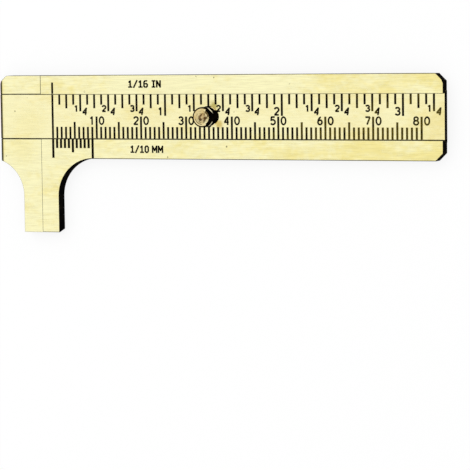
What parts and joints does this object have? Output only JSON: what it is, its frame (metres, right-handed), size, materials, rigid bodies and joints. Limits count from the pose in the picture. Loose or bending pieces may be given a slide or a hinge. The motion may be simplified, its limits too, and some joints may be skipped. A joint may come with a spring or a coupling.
{
  "type": "pocket vernier caliper",
  "caption": "Small brass vernier caliper with inch and millimetre scales: a thumb-knobbed bar slides in a dovetailed frame and opens one long jaw from the other.",
  "frame": {"origin": "reading index of the frame, on the centre line of the slide bar, at the back face", "axes": "+X along the scale to the free end, +Y to the inch rail, +Z out of the front; the slide opens along -X"},
  "size_m": [0.0967, 0.0327, 0.0066],
  "materials": {
    "satin_brass": "flat faces ground satin along the scale, sides tarnished dark",
    "sheet_brass": "rolled sheet, dull",
    "rivet_brass": "peened and filed flush",
    "turned_brass": "turned and polished",
    "spring_bronze": "cold rolled strip",
    "black_enamel": "black filler rubbed into engraved lines"
  },
  "bodies": {
    "frame": {"frame_back_plate": "sheet_brass", "upper_rail": "satin_brass", "fixed_jaw_rail": "satin_brass", "upper_rail_pins": "rivet_brass", "lower_rail_pins": "rivet_brass", "stop_pin": "rivet_brass", "index_line": "black_enamel", "vernier_lines": "black_enamel"},
    "slide": {"slide_bar": "satin_brass", "head_back_plate": "sheet_brass", "head_block": "satin_brass", "moving_jaw": "satin_brass", "head_pins": "rivet_brass", "bar_rivets": "rivet_brass", "thumb_knob": "turned_brass", "knob_rivet": "rivet_brass", "friction_spring": "spring_bronze", "zero_line": "black_enamel", "mm_lines": "black_enamel", "inch_lines": "black_enamel", "mm_numerals": "black_enamel", "inch_numerals": "black_enamel"}
  },
  "joints": [
    {"name": "slide_travel", "type": "slide", "parent": "frame", "child": "slide", "axis": [-1, 0, 0], "range_m": [0, 0.08]}
  ]
}
